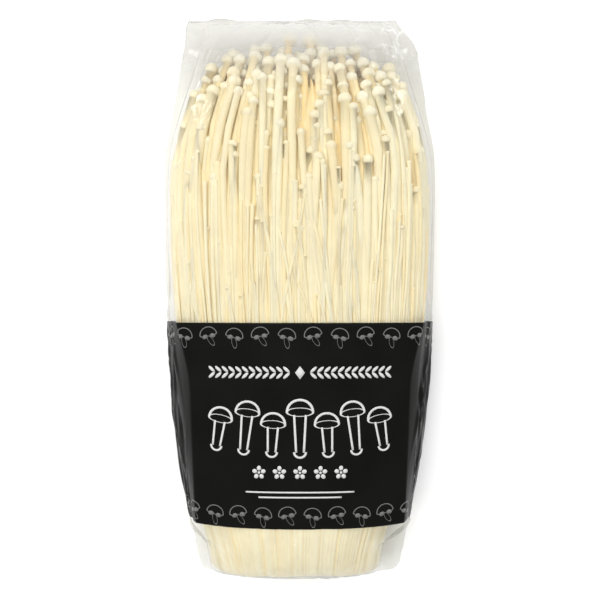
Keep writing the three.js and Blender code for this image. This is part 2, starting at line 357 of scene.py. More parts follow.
    def film_point(self, y: Array, share: Array, lift: Array | float) -> Array:
        """Points on the film.

        Args:
            y: Places along the pack.
            share: How far round the half section, from 0 at the crown to 1 under the pack, and minus on the
                left.
            lift: How far the points stand off the film's face.

        Returns:
            One point for each place.
        """
        y, share = np.broadcast_arrays(np.asarray(y, float), np.asarray(share, float))
        row = np.clip((y + self.half_length) / (2 * self.half_length), 0, 1) * (self.rows - 1)
        column = np.clip((share + 1) / 2, 0, 1) * (self.points.shape[1] - 1)
        i = np.minimum(row.astype(int), self.rows - 2)
        j = np.minimum(column.astype(int), self.points.shape[1] - 2)
        u, v = (row - i)[..., None], (column - j)[..., None]
        found = []
        for table in (self.points, self.normals):
            low = table[i, j] * (1 - v) + table[i, j + 1] * v
            high = table[i + 1, j] * (1 - v) + table[i + 1, j + 1] * v
            found.append(low * (1 - u) + high * u)
        return found[0] + found[1] * np.asarray(lift, float)[..., None]

    def share_at(self, y: Array, around: Array) -> Array:
        """Turn a distance round the film from its crown into a share of the half section."""
        row = (y + self.half_length) / (2 * self.half_length) * (self.rows - 1)
        upper = np.interp(row, np.arange(self.rows), self.upper_length)
        lower = np.interp(row, np.arange(self.rows), self.lower_length)
        distance = np.abs(around)
        share = np.where(distance <= upper, 0.5 * distance / upper, 0.5 + 0.5 * (distance - upper) / lower)
        return np.sign(around) * np.minimum(share, 1)

    def bowed(self, points: Array) -> Array:
        """Raise the foot of the print towards the sides, where the film is drawn up over the root."""
        y = points[..., 1]
        outline = self.half_width * FILM_WIDTH.at(y / self.half_length)
        weight = smooth_between(-y, -self.band_top, -self.band_foot)
        bowed = points.copy()
        bowed[..., 1] = y + self.band_bow * weight * np.minimum(np.abs(points[..., 0]) / outline, 1) ** 4
        return bowed

    def bunch_point(self, y: Array, across: Array, through: Array, depth: Array) -> Array:
        """Points in the bunch.

        Args:
            y: Places along the pack.
            across: Shares of the bunch's half-width.
            through: Shares of its reach above or below the widest place.
            depth: How far the points keep inside the bunch's outside.

        Returns:
            One point for each place.
        """
        share = y / self.half_length
        top, waist, bottom = self.heights(y)
        corner = SECTION_CORNER.at(share)
        reach = (np.abs(across) ** corner + np.abs(through) ** corner) ** (1 / corner)
        within = np.maximum(reach, 1)
        wall = self.half_width * BUNCH_WIDTH.at(share) + np.sign(across) * self.shift(y) - depth
        vertical = np.where(through > 0, top - waist, waist - bottom) - depth - self.bunch_gap
        height = waist + vertical * through / within
        return np.stack([wall * across / within, y + 0 * across, height], axis=-1)

    def shares_round(self, turn: Array) -> tuple[Array, Array]:
        """Shares across and through, at an even pace round the bunch from its right side over the top."""
        angle = np.linspace(0, 2 * math.pi, 721)
        corner = 2.8
        across = np.sign(np.cos(angle)) * np.abs(np.cos(angle)) ** (2 / corner)
        through = np.sign(np.sin(angle)) * np.abs(np.sin(angle)) ** (2 / corner)
        points = self.bunch_point(np.full_like(angle, 10.0), across, through, 0 * angle)
        steps = np.linalg.norm(np.diff(points, axis=0), axis=1)
        run = np.concatenate([[0], np.cumsum(steps)])
        place = np.mod(turn, 1) * run[-1]
        return np.interp(place, run, across), np.interp(place, run, through)


class Slot(Enum):
    """The record's material slots."""

    MUSHROOM = "mushroom"
    CLEAR_FILM = "clear_film"
    PRINTED_FILM = "printed_film"


def add_node(tree: Tree, kind: str, settings: dict, links: dict | None = None) -> bpy.types.Node:
    """Add a shader node with its settings and links.

    Args:
        tree: Node tree that takes the node.
        kind: Blender's name for the node.
        settings: Values by name or by input number. Names in small letters are the node's own options, and
            stops are a colour ramp's places and hex colours.
        links: Outputs that feed the node's inputs, by input name or number.

    Returns:
        The new node.
    """
    node = tree.nodes.new(kind)
    for name, value in settings.items():
        if name == "stops":
            while len(node.color_ramp.elements) < len(value):
                node.color_ramp.elements.new(0.5)
            for element, (place, colour) in zip(node.color_ramp.elements, value):
                element.position = place
                element.color = linear_colour(colour)
        elif isinstance(name, str) and name[0].islower():
            setattr(node, name, value)
        else:
            node.inputs[name].default_value = value
    for name, source in (links or {}).items():
        tree.links.new(source, node.inputs[name])
    return node


def new_material(name: str) -> tuple[Finish, Tree, Socket]:
    """Make an empty node material, and return it with its tree and the place on the object."""
    material = bpy.data.materials.new(name)
    material.use_nodes = True
    tree = material.node_tree
    tree.nodes.clear()
    return material, tree, add_node(tree, "ShaderNodeTexCoord", {}).outputs["Object"]


def noise(tree: Tree, place: Socket, spacing: float, detail: float) -> Socket:
    """Add a noise whose features are so many millimetres apart, and return its output."""
    settings = {"Scale": 1 / (spacing * MM), "Detail": detail}
    return add_node(tree, "ShaderNodeTexNoise", settings, {"Vector": place}).outputs["Fac"]


def mapped(
    tree: Tree, source: Socket, reach: tuple[float, float], onto: tuple[float, float] = (0.0, 1.0),
    course: str = "LINEAR",
) -> Socket:
    """Add a map from one range to another.

    Args:
        tree: Node tree that takes the node.
        source: Output to map.
        reach: Range that it is read over.
        onto: Range that it is turned into.
        course: Blender's name for how it runs between the two ends.

    Returns:
        The mapped output.
    """
    settings = {"interpolation_type": course, "From Min": reach[0], "From Max": reach[1]}
    settings.update({"To Min": onto[0], "To Max": onto[1]})
    return add_node(tree, "ShaderNodeMapRange", settings, {"Value": source}).outputs["Result"]


def combined(tree: Tree, operation: str, first: Socket, second: Socket) -> Socket:
    """Add a sum or a product of two outputs, and return it."""
    links = {0: first, 1: second}
    return add_node(tree, "ShaderNodeMath", {"operation": operation}, links).outputs["Value"]


def bumped(tree: Tree, height: Socket, strength: float, depth: float) -> Socket:
    """Add fine relief so many millimetres deep, and return the normal that it gives."""
    settings = {"Strength": strength, "Distance": depth * MM}
    return add_node(tree, "ShaderNodeBump", settings, {"Height": height}).outputs["Normal"]


def show(tree: Tree, shader: Socket) -> None:
    """Lead a shader to the material's surface."""
    add_node(tree, "ShaderNodeOutputMaterial", {}, {"Surface": shader})


@dataclass(frozen=True)
class MushroomFlesh:
    """Fresh enoki: smooth, moist, pale cream flesh with fine fibres that run up the stem.

    Light goes a little way into it, so the gaps between the stems glow a warm yellow. That glow is also
    painted: deeper stems take a darker, warmer colour, a painted warm shade.
    """

    stem: str = "#FDF4D5"
    # Darker, warmer colour of deep stems: painted shade in the gaps of the bunch
    stem_painted_shade: str = "#FFDE95"
    cap: str = "#FDF6DF"
    mottle_spacing: float = 6.0
    fibre_spacing: float = 0.35
    strand_spacing: float = 1.7
    scatter_depth: float = 0.5

    def material(self) -> Finish:
        """Build the flesh material."""
        material, tree, place = new_material("enoki flesh, fresh")
        # Each point's tone: random between stems, and darker and warmer on deep stems, in the core and in
        # grooves, a painted warm shade
        tint = add_node(tree, "ShaderNodeAttribute", {"attribute_name": "tint"})
        capped = add_node(tree, "ShaderNodeAttribute", {"attribute_name": "cap"})
        stems = add_node(
            tree, "ShaderNodeValToRGB", {"stops": ((0, self.stem_painted_shade), (1, self.stem))},
            {"Fac": tint.outputs["Fac"]},
        )
        base = add_node(
            tree, "ShaderNodeMix", {"data_type": "RGBA", 7: linear_colour(self.cap)},
            {0: capped.outputs["Fac"], 6: stems.outputs["Color"]},
        )
        stretch = add_node(tree, "ShaderNodeMapping", {"Scale": (1.0, 0.03, 1.0)}, {"Vector": place})
        up_the_stem = stretch.outputs["Vector"]
        mottle = noise(tree, place, self.mottle_spacing, 3.0)
        strands = noise(tree, up_the_stem, self.strand_spacing, 3.0)
        shade = mapped(tree, combined(tree, "ADD", mottle, strands), (0.6, 1.4), (0.87, 1.01))
        colour = add_node(tree, "ShaderNodeHueSaturation", {}, {"Color": base.outputs[2], "Value": shade})
        fibres = noise(tree, up_the_stem, self.fibre_spacing, 2.0)
        shader = add_node(
            tree, "ShaderNodeBsdfPrincipled",
            {
                "Roughness": 0.42, "IOR": 1.4, "Subsurface Weight": 0.3,
                "Subsurface Scale": self.scatter_depth * MM, "Subsurface Radius": (1.0, 0.92, 0.8),
            },
            {"Base Color": colour.outputs["Color"], "Normal": bumped(tree, fibres, 0.25, 0.15)},
        )
        show(tree, shader.outputs["BSDF"])
        return material


@dataclass(frozen=True)
class ClearFilm:
    """Blown polypropylene film, drawn tight: clear and glossy, with small creases.

    Towards its mouth it is milky and crumpled, with short white streaks painted on the facet edges at the
    right corner as glints.
    """

    tone: str = "#F4F4F2"
    haze: float = 0.04
    mouth_haze: float = 0.55
    milk: str = "#D3D1CB"
    # White of the painted glints at the right corner
    glint_white: str = "#FFFFFF"
    facet_size: float = 4.5
    streak_size: float = 7.0
    glint_from: float = 14.0
    glint_to: float = 26.0
    crease_spacing: float = 9.0
    crease_depth: float = 0.5
    head_on_gloss: float = 0.045
    grazing_gloss: float = 0.8
    grazing_power: float = 4.5

    def material(self, shape: PackShape) -> Finish:
        """Build the film material.

        Args:
            shape: Sections of the pack, which say where the mouth is.

        Returns:
            The material.
        """
        material, tree, place = new_material("polypropylene film, blown, clear")
        axes = add_node(tree, "ShaderNodeSeparateXYZ", {}, {"Vector": place})
        mouth = (0.7 * shape.half_length * MM, 0.96 * shape.half_length * MM)
        hazes = (self.haze, self.mouth_haze)
        bloom = mapped(tree, axes.outputs["Y"], mouth, hazes, "SMOOTHSTEP")
        folds = add_node(
            tree, "ShaderNodeTexNoise",
            {"noise_type": "RIDGED_MULTIFRACTAL", "Scale": 1 / (self.crease_spacing * MM), "Detail": 5.0},
            {"Vector": place},
        )
        cells = add_node(
            tree, "ShaderNodeTexVoronoi",
            {"feature": "DISTANCE_TO_EDGE", "Scale": 1 / (self.facet_size * MM)}, {"Vector": place},
        )
        facets = cells.outputs["Distance"]
        creases = add_node(
            tree, "ShaderNodeBump", {"Distance": self.crease_depth * MM},
            {
                "Strength": mapped(tree, bloom, hazes, (0.35, 0.9)),
                "Height": combined(tree, "ADD", folds.outputs["Fac"], facets),
            },
        )
        normal = creases.outputs["Normal"]
        # Facet edges at the right corner turn white in patches: painted glints on the crumpled film
        edges = mapped(tree, facets, (0.01, 0.12), (1.0, 0.0))
        glint_streaks = mapped(tree, noise(tree, place, self.streak_size, 1.0), (0.5, 0.6))
        reach = (self.glint_from * MM, self.glint_to * MM)
        corner_glints = combined(tree, "MULTIPLY", glint_streaks, mapped(tree, axes.outputs["X"], reach, (0.0, 0.6)))
        milk = add_node(
            tree, "ShaderNodeMix",
            {"data_type": "RGBA", 6: linear_colour(self.milk), 7: linear_colour(self.glint_white)},
            {0: combined(tree, "MULTIPLY", edges, corner_glints)},
        )
        clear = add_node(tree, "ShaderNodeBsdfTransparent", {"Color": linear_colour(self.tone)})
        milky = add_node(tree, "ShaderNodeBsdfDiffuse", {}, {"Color": milk.outputs[2], "Normal": normal})
        body = add_node(
            tree, "ShaderNodeMixShader", {},
            {0: bloom, 1: clear.outputs["BSDF"], 2: milky.outputs["BSDF"]},
        )
        gloss = add_node(tree, "ShaderNodeBsdfGlossy", {"Roughness": 0.09}, {"Normal": normal})
        facing = add_node(tree, "ShaderNodeLayerWeight", {"Blend": 0.5}, {"Normal": normal})
        grazing = add_node(
            tree, "ShaderNodeMath", {"operation": "POWER", 1: self.grazing_power},
            {0: facing.outputs["Facing"]},
        )
        mirror = mapped(
            tree, grazing.outputs["Value"], (0.0, 1.0), (self.head_on_gloss, self.grazing_gloss)
        )
        film = add_node(
            tree, "ShaderNodeMixShader", {},
            {0: mirror, 1: body.outputs["Shader"], 2: gloss.outputs["BSDF"]},
        )
        show(tree, film.outputs["Shader"])
        return material


@dataclass(frozen=True)
class BlackPrint:
    """Film printed solid black on its inner face: deep black under a glossy face, with soft waves."""

    tone: str = "#141413"
    shade: str = "#10100F"
    wave_spacing: float = 16.0

    def material(self) -> Finish:
        """Build the black print material."""
        material, tree, place = new_material("polypropylene film, printed black")
        waves = noise(tree, place, self.wave_spacing, 3.0)
        tone = add_node(
            tree, "ShaderNodeValToRGB", {"stops": ((0.3, self.shade), (0.7, self.tone))}, {"Fac": waves}
        )
        shader = add_node(
            tree, "ShaderNodeBsdfPrincipled", {"Roughness": 0.26, "IOR": 1.2, "Specular IOR Level": 0.2},
            {"Base Color": tone.outputs["Color"], "Normal": bumped(tree, waves, 0.3, 0.6)},
        )
        show(tree, shader.outputs["BSDF"])
        return material


@dataclass(frozen=True)
class Ink:
    """Flexographic ink on film: flat, even and slightly glossy, with faint grain from the plate."""

    name: str
    tone: str
    grain_spacing: float = 0.8

    def material(self) -> Finish:
        """Build the ink material."""
        material, tree, place = new_material(self.name)
        shade = mapped(tree, noise(tree, place, self.grain_spacing, 2.0), (0.0, 1.0), (0.9, 1.06))
        colour = add_node(
            tree, "ShaderNodeHueSaturation", {"Color": linear_colour(self.tone)}, {"Value": shade}
        )
        shader = add_node(
            tree, "ShaderNodeBsdfPrincipled", {"Roughness": 0.35, "IOR": 1.45},
            {"Base Color": colour.outputs["Color"]},
        )
        show(tree, shader.outputs["BSDF"])
        return material


@dataclass(frozen=True)
class PaperSweep:
    """Matt white paper sweep of a product studio."""

    tone: str = "#FBFBFB"
    tooth_spacing: float = 1.5

    def material(self) -> Finish:
        """Build the floor material."""
        material, tree, place = new_material("paper sweep, matt white")
        tooth = noise(tree, place, self.tooth_spacing, 2.0)
        shader = add_node(
            tree, "ShaderNodeBsdfPrincipled", {"Base Color": linear_colour(self.tone), "Roughness": 0.9},
            {"Normal": bumped(tree, tooth, 0.05, 0.05)},
        )
        show(tree, shader.outputs["BSDF"])
        return material


def deselect_all() -> None:
    """Leave object mode's selection empty."""
    if bpy.context.object and bpy.context.object.mode != "OBJECT":
        bpy.ops.object.mode_set(mode="OBJECT")
    bpy.ops.object.select_all(action="DESELECT")


def take_mesh(piece: Piece) -> tuple[Array, list[tuple[int, ...]]]:
    """Read a modelled shape's points and faces, and remove the shape from the scene.

    Args:
        piece: Mesh object made by operators.

    Returns:
        Its points, in the units it was modelled in, and its faces as point numbers.
    """
    points = np.array([vertex.co for vertex in piece.data.vertices], float)
    faces = [tuple(polygon.vertices) for polygon in piece.data.polygons]
    bpy.data.objects.remove(piece, do_unlink=True)
    return points, faces


def place_mesh(name: str, points: Array, faces: list, finish: Finish) -> Piece:
    """Put a mesh in the scene with its object at the origin.

    Args:
        name: Name of the piece.
        points: Points in millimetres.
        faces: Faces as point numbers.
        finish: Material of the whole piece.

    Returns:
        The new object, selected and active.
    """
    deselect_all()
    mesh = bpy.data.meshes.new(name)
    mesh.from_pydata((points * MM).tolist(), [], faces)
    mesh.materials.append(finish)
    piece = bpy.data.objects.new(name, mesh)
    bpy.context.scene.collection.objects.link(piece)
    bpy.context.view_layer.objects.active = piece
    piece.select_set(True)
    bpy.ops.object.shade_smooth()
    return piece


def weld(piece: Piece, distance: float) -> None:
    """Merge a piece's doubled points and turn its faces outwards.

    Args:
        piece: Piece to mend.
        distance: Points nearer than this many millimetres become one.
    """
    deselect_all()
    bpy.context.view_layer.objects.active = piece
    piece.select_set(True)
    bpy.ops.object.mode_set(mode="EDIT")
    bpy.ops.mesh.select_all(action="SELECT")
    bpy.ops.mesh.remove_doubles(threshold=distance * MM)
    bpy.ops.mesh.normals_make_consistent(inside=False)
    bpy.ops.object.mode_set(mode="OBJECT")
    if is_closed(piece) and enclosed_volume(piece) < 0:
        bpy.ops.object.mode_set(mode="EDIT")
        bpy.ops.mesh.flip_normals()
        bpy.ops.object.mode_set(mode="OBJECT")


def thicken(piece: Piece, thickness: float) -> None:
    """Give an active sheet its thickness, in millimetres, under its outer face."""
    solid = piece.modifiers.new("thickness", "SOLIDIFY")
    solid.thickness = thickness * MM
    solid.offset = -1
    bpy.ops.object.modifier_apply(modifier=solid.name)


def is_closed(piece: Piece) -> bool:
    """Tell whether every edge of a piece has two faces."""
    used = np.zeros(len(piece.data.edges), int)
    edges = np.zeros(len(piece.data.loops), int)
    piece.data.loops.foreach_get("edge_index", edges)
    np.add.at(used, edges, 1)
    return bool((used == 2).all())


def enclosed_volume(piece: Piece) -> float:
    """Volume inside a closed piece, which is negative where its faces point inwards."""
    mesh = piece.data
    mesh.calc_loop_triangles()
    corners = np.zeros(len(mesh.loop_triangles) * 3, int)
    mesh.loop_triangles.foreach_get("vertices", corners)
    points = np.zeros(len(mesh.vertices) * 3)
    mesh.vertices.foreach_get("co", points)
    a, b, c = points.reshape(-1, 3)[corners.reshape(-1, 3)].transpose(1, 0, 2)
    return float((np.cross(a, b) * c).sum() / 6)


def report(piece: Piece) -> None:
    """Log a finished piece's name and size."""
    low = np.array(piece.bound_box[0]) / MM
    high = np.array(piece.bound_box[6]) / MM
    state = "closed" if is_closed(piece) else "open"
    faces = len(piece.data.polygons)
    log.info("%s: %d faces, %s, %s to %s mm", piece.name, faces, state, low.round(1), high.round(1))


def hand_in(piece: Piece, node: str | None = None) -> None:
    """Tie a piece to the frame.

    Args:
        piece: Finished piece.
        node: CAD node that it stands for, if any.
    """
    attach(piece, "root")
    if node:
        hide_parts(node)
    report(piece)


@dataclass(frozen=True)
class Habit:
    """How one kind of mushroom grows in the bunch.

    Sizes are in millimetres, and a cap's is a share of its stem's. Ranges go from the least to the most.
    """

    name: str
    count: int
    depth: float
    stem: tuple[float, float]
    cap: tuple[float, float]
    drop: tuple[float, float]
    drop_power: float
    foot: float
    lean: float
    wave: float
    # Tone range: random between stems, and lower for the deeper kinds, a painted warm shade
    tint: tuple[float, float]
    ringed: bool = True


# The last range of each kind is its tone: random between stems, and lower for the deeper kinds, a painted
# warm shade deep in the bunch
HABITS = (
    Habit("outer", 104, 0.7, (1.25, 1.9), (1.08, 1.65), (3, 46), 1.1, -16, 0.1, 0.9, (0.7, 1.0)),
    Habit("second", 124, 2.6, (1.3, 1.8), (1.12, 1.7), (0, 32), 1.3, -14, 0.07, 0.7, (0.5, 0.95)),
    Habit("third", 110, 4.8, (1.2, 1.6), (1.3, 1.8), (0, 24), 1.3, 10, 0.06, 0.5, (0.3, 0.8)),
    Habit("inner", 140, 0.0, (1.2, 1.5), (1.5, 1.9), (0, 18), 1.0, 34, 0.04, 0.4, (0.2, 0.7), False),
    Habit("slim", 280, 0.45, (0.5, 0.95), (1.0, 1.25), (30, 92), 0.8, -18, 0.08, 0.7, (0.6, 1.0)),
)


# How tall a cap is, in its own radii
CAP_RISE = 1.34


@dataclass
class MushroomBunch:
    """The bunch: a root plug with a cut end, and the mushrooms that rise from it."""

    shape: PackShape
    finish: Finish
    root_end: float = -91.4
    plug_top: float = -5.0
    core_top: float = 70.0
    core_depth: float = 1.1
    tallest_tip: float = 87.0
    dome_across: float = 9.0
    dome_through: float = 6.0
    sides: int = 8
    weld_distance: float = 0.001
    seed: int = 2611

    def build(self) -> None:
        """Build the plug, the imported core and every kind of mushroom."""
        random = np.random.default_rng(self.seed)
        master = self._master_mushroom()
        taken: list[Array] = []
        for habit in HABITS:
            piece = self._grow(habit, master, random, taken)
            hand_in(piece, "mushroom_bunch")
        hand_in(self._root_plug(random), "mushroom_bunch")
        hand_in(self._packed_core(random), "mushroom_bunch")

    def _master_mushroom(self) -> tuple[Array, list[tuple[int, ...]]]:
        """Model one mushroom upright along +Y.

        Its stem runs from y = -1 to 0 with a radius of 1. Its cap rises from y = 0 in units of the cap's
        radius.

        Returns:
            Its points and faces.
        """
        deselect_all()
        bpy.ops.mesh.primitive_circle_add(
            vertices=self.sides, radius=1.05, fill_type="NGON", location=(0, -1, 0),
            rotation=(math.pi / 2, 0, 0),
        )
        piece = bpy.context.object
        bpy.ops.object.transform_apply(location=True, rotation=True, scale=True)
        bpy.ops.object.mode_set(mode="EDIT")
        bpy.ops.mesh.select_all(action="SELECT")
        stem_rings = [(y, 1.05 - 0.15 * (y + 1)) for y in (-0.82, -0.64, -0.46, -0.3, -0.14, 0.0)]
        cap_rings = [(0.05, 0.8), (0.35, 1.0), (0.8, 0.93), (1.15, 0.66), (CAP_RISE, 0.25)]
        height, width = -1.0, 1.05
        for place, radius in stem_rings + cap_rings:
            bpy.ops.mesh.extrude_region_move(TRANSFORM_OT_translate={"value": (0, place - height, 0)})
            ratio = radius / width
            bpy.ops.transform.resize(value=(ratio, 1, ratio), center_override=(0, place, 0))
            height, width = place, radius
        bpy.ops.mesh.select_all(action="SELECT")
        bpy.ops.mesh.normals_make_consistent(inside=False)
        bpy.ops.object.mode_set(mode="OBJECT")
        return take_mesh(piece)

    def _dome(self, across: Array, through: Array) -> Array:
        """How far up tips may reach: highest in the middle of the bunch."""
        return self.tallest_tip - self.dome_across * across**2 - self.dome_through * through**2

    def _starts(self, habit: Habit, random: np.random.Generator) -> tuple[Array, Array]:
        """Shares across and through at which a kind of mushroom stands."""
        step = np.arange(habit.count)
        if habit.ringed:
            turns = (step + random.uniform(-0.4, 0.4, habit.count)) / habit.count
            return self.shape.shares_round(turns)
        across = 0.84 * (2 * np.mod(0.5 + step * 0.7549, 1) - 1)
        through = 0.6 * (2 * np.mod(0.5 + step * 0.5698, 1) - 1)
        return across, through

    def _grow(
        self, habit: Habit, master: tuple[Array, list], random: np.random.Generator, taken: list[Array]
    ) -> Piece:
        """Copy the master mushroom for each of a kind, bent along its own path.

        Args:
            habit: Kind of mushroom.
            master: Points and faces of the master mushroom.
            random: Seeded source of variety.
            taken: Centres and radii of the caps already placed, to which these caps are added.

        Returns:
            One piece with all the mushrooms of the kind.
        """
        across, through = self._starts(habit, random)
        all_points, all_faces, tones_and_painted_shades, caps = [], [], [], []
        for i in range(habit.count):
            stem = random.uniform(*habit.stem)
            short = random.random() ** habit.drop_power
            drop = habit.drop[0] + (habit.drop[1] - habit.drop[0]) * short
            spread = (1 - short) ** 1.4 * random.uniform(0.4, 1) * (1 - 0.4 * across[i] ** 2)
            cap = stem * (habit.cap[0] + (habit.cap[1] - habit.cap[0]) * spread)
            lean = habit.lean * 2.4 * random.uniform(-1, 1) ** 3
            wave = habit.wave * random.uniform(0.3, 1)
            phase = random.uniform(0, 2 * math.pi)
            path = MushroomPath(
                self.shape, across[i], through[i], habit.foot, stem, cap, habit.depth, lean, wave, phase
            )
            tip = self._settle(path, self._dome(across[i], through[i]) - drop, cap, taken)
            if tip is None:
                continue
            points, capped = path.bend(master[0], tip, random)
            offset = sum(len(batch) for batch in all_points)
            all_points.append(points)
            all_faces += [tuple(corner + offset for corner in face) for face in master[1]]
            tones_and_painted_shades.append(np.full(len(points), random.uniform(*habit.tint)))
            caps.append(capped * min(2 * (cap / stem - 1), 1))
        piece = place_mesh(f"mushrooms_{habit.name}", np.concatenate(all_points), all_faces, self.finish)
        self._mark(piece, np.concatenate(tones_and_painted_shades), np.concatenate(caps))
        return piece

    def _settle(self, path: "MushroomPath", tip: float, cap: float, taken: list[Array]) -> float | None:
        """Bring a tip down until its cap has room.

        Args:
            path: Path of the mushroom.
            tip: Height at which it would like to end.
            cap: Radius of its cap.
            taken: Centres and radii of the caps already placed.

        Returns:
            The height at which it ends, or None where there is no room.
        """
        while tip > path.foot + 16:
            centre = path.axis(np.array([tip - 0.6 * cap]), tip)[0]
            if taken:
                others = np.array(taken)
                gaps = np.linalg.norm(others[:, :3] - centre, axis=1) - 0.86 * (others[:, 3] + cap)
                crowded = bool((gaps < 0).any())
            else:
                crowded = False
            if not crowded:
                taken.append(np.array([*centre, cap]))
                return tip
            tip -= 1.2
        return None

    def _mark(self, piece: Piece, tones_and_painted_shades: Array, caps: Array) -> None:
        """Store each point's tone, random and with painted warm shade, and whether it is on a cap, which the
        flesh material reads.
        """
        for name, values in (("tint", tones_and_painted_shades), ("cap", caps)):
            layer = piece.data.attributes.new(name, "FLOAT", "POINT")
            layer.data.foreach_set("value", values.astype(np.float32))

    def _ribbed(
        self, name: str, corners: int, levels: list[tuple[float, float, float]], groove: float,
        random: np.random.Generator, ragged: float,
    ) -> Piece:
        """Extrude a circle through levels and lay it in the bunch's section, with fine grooves along it.

        Args:
            name: Name of the piece.
            corners: Corners of the circle.
            levels: Place along the pack, depth under the bunch's outside and tone, for each ring. The tone
                goes from 0 for a deep, warm painted shade to 1 for pale flesh.
            groove: Depth of the deepest grooves.
            random: Seeded source of variety.
            ragged: How far the ends are uneven.

        Returns:
            The piece.
        """
        deselect_all()
        bpy.ops.mesh.primitive_circle_add(
            vertices=corners, radius=1, fill_type="NGON", location=(0, 0, 0), rotation=(math.pi / 2, 0, 0)
        )
        piece = bpy.context.object
        bpy.ops.object.transform_apply(location=True, rotation=True, scale=True)
        bpy.ops.object.mode_set(mode="EDIT")
        bpy.ops.mesh.select_all(action="SELECT")
        for _ in levels[1:]:
            bpy.ops.mesh.extrude_region_move(TRANSFORM_OT_translate={"value": (0, 1, 0)})
        bpy.ops.object.mode_set(mode="OBJECT")
        raw, faces = take_mesh(piece)
        level = np.rint(raw[:, 1]).astype(int)
        turn = np.mod(np.arctan2(raw[:, 2], raw[:, 0]) / (2 * math.pi), 1)
        corner = np.rint(turn * corners).astype(int) % corners
        across, through = self.shape.shares_round(turn)
        grooves = random.random(corners) ** 3
        waves = np.zeros_like(turn)
        for k in (3, 7, 13, 29):
            waves += random.uniform(0.4, 1) * np.sin(2 * math.pi * (k * turn + random.random())) / k**0.7
        places = np.array(levels)
        at_root = level < 3
        at_top = level >= len(levels) - 2
        tufts = np.repeat(random.uniform(-1, 1, corners // 2 + 1), 2)[corner]
        y = places[level, 0] + ragged * (waves * at_root + 8 * tufts * at_top)
        depth = places[level, 1] + groove * grooves[corner]
        piece = place_mesh(name, self.shape.bunch_point(y, across, through, depth), faces, self.finish)
        # The waves vary the tone at random; the grooves also take a deeper, warmer colour, a painted shade
        # in them
        self._mark(piece, places[level, 2] + 0.12 * waves - 0.5 * grooves[corner], np.zeros(len(y)))
        weld(piece, self.weld_distance)
        return piece

    def _root_plug(self, random: np.random.Generator) -> Piece:
        """The root plug, where the stems are grown together, with its rounded and slightly wavy cut end."""
        end = self.root_end
        pale = 1.0
        levels = [(end, 2.4, pale), (end + 0.35, 0.9, pale), (end + 1.3, 0.25, pale), (end + 3, 0.0, pale)]
        levels += [(float(y), 0.0, pale) for y in np.linspace(end + 6, self.plug_top - 26, 14)]
        levels += [(self.plug_top - 14, 0.8, pale), (self.plug_top, 2.6, pale)]
        return self._ribbed("root_plug", 440, levels, 0.5, random, 0.9)

    def _packed_core(self, random: np.random.Generator) -> Piece:
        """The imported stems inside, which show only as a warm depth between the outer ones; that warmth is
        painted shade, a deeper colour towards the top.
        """
        top = self.core_top
        depth = self.core_depth
        # The tone deepens towards the top, where the core lies deeper: painted warm shade in the gaps
        # between the outer stems
        levels = [(self.plug_top - 18, depth, 0.95), (self.plug_top, depth, 0.95), (top - 56, depth, 0.9)]
        levels += [(top - 44, depth + 0.6, 0.8), (top - 32, depth + 1.6, 0.65), (top - 20, depth + 3, 0.55)]
        levels += [(top - 10, depth + 4.5, 0.5), (top - 3, depth + 6.5, 0.45), (top, depth + 10.0, 0.45)]
        return self._ribbed("packed_core", 360, levels, 0.8, random, 0.25)


@dataclass
class MushroomPath:
    """The path that one mushroom takes up through the bunch, and how the master mushroom bends along it."""

    shape: PackShape
    across: float
    through: float
    foot: float
    stem: float
    cap: float
    depth: float
    lean: float
    wave: float
    phase: float
    sway_length: float = 9.0
    nod_length: float = 12.0
    foot_taper: float = 0.38
    cap_tilt: float = 0.22
    step: float = 0.5

    def axis(self, y: Array, tip: float) -> Array:
        """Points on the mushroom's middle line.

        Args:
            y: Places along the pack.
            tip: Place of the mushroom's tip.

        Returns:
            One point for each place.
        """
        share = np.clip((y - self.foot) / (tip - self.foot), 0, 1.1)
        sway = self.lean * share**1.5 + self.wave / 40 * np.sin(y / self.sway_length + self.phase) * share
        nod = 0.4 * self.wave / 16 * np.sin(y / self.nod_length + 2.1 * self.phase) * share
        keep = self.depth + self.stem + (self.cap - self.stem) * smooth_between(share, 0.7, 0.97)
        side = np.where(abs(self.through) > 0.75, 1.0, 0.35)
        across = self.across + sway * side
        through = self.through + nod + sway * (1 - side)
        return self.shape.bunch_point(y, across, through, keep)

    def bend(self, master: Array, tip: float, random: np.random.Generator) -> tuple[Array, Array]:
        """Bend a copy of the master mushroom along the path.

        Args:
            master: Points of the master mushroom.
            tip: Place of the mushroom's tip.
            random: Seeded source of variety.

        Returns:
            The copy's points, and 1 for each point on its cap.
        """
        tall = random.uniform(0.85, 1.15)
        neck = tip - CAP_RISE * self.cap * tall
        on_cap = master[:, 1] > 0.001
        y = np.where(on_cap, neck, neck + master[:, 1] * (neck - self.foot))
        middle = self.axis(y, tip)
        slope = (self.axis(y + self.step, tip) - middle) / self.step
        tilt = random.uniform(-self.cap_tilt, self.cap_tilt, 2) * on_cap[:, None]
        turn = random.uniform(0, 2 * math.pi)
        oval = random.uniform(0.93, 1.07)
        rolled_x = (master[:, 0] * math.cos(turn) - master[:, 2] * math.sin(turn)) * oval
        rolled_z = (master[:, 0] * math.sin(turn) + master[:, 2] * math.cos(turn)) / oval
        radius = np.where(on_cap, self.cap, self.stem)
        slim = np.where(on_cap, 1, 1 - self.foot_taper * smooth_between(-master[:, 1], 0.1, 1))
        side_x, side_z = rolled_x * radius * slim, rolled_z * radius * slim
        lean_x, lean_z = slope[:, 0] + tilt[:, 0], slope[:, 2] + tilt[:, 1]
        rise = np.where(on_cap, master[:, 1] * self.cap * tall, 0)
        along = rise - lean_x * side_x - lean_z * side_z
        points = middle + np.stack([side_x + lean_x * rise, along, side_z + lean_z * rise], axis=1)
        return points, on_cap.astype(float)


@dataclass(frozen=True)
class Seam:
    """A flat seam across one end of the bag: -1 for the root end and 1 for the mouth, in millimetres."""

    end: int
    reach: float
    gather: float
    height: float
    skew: float


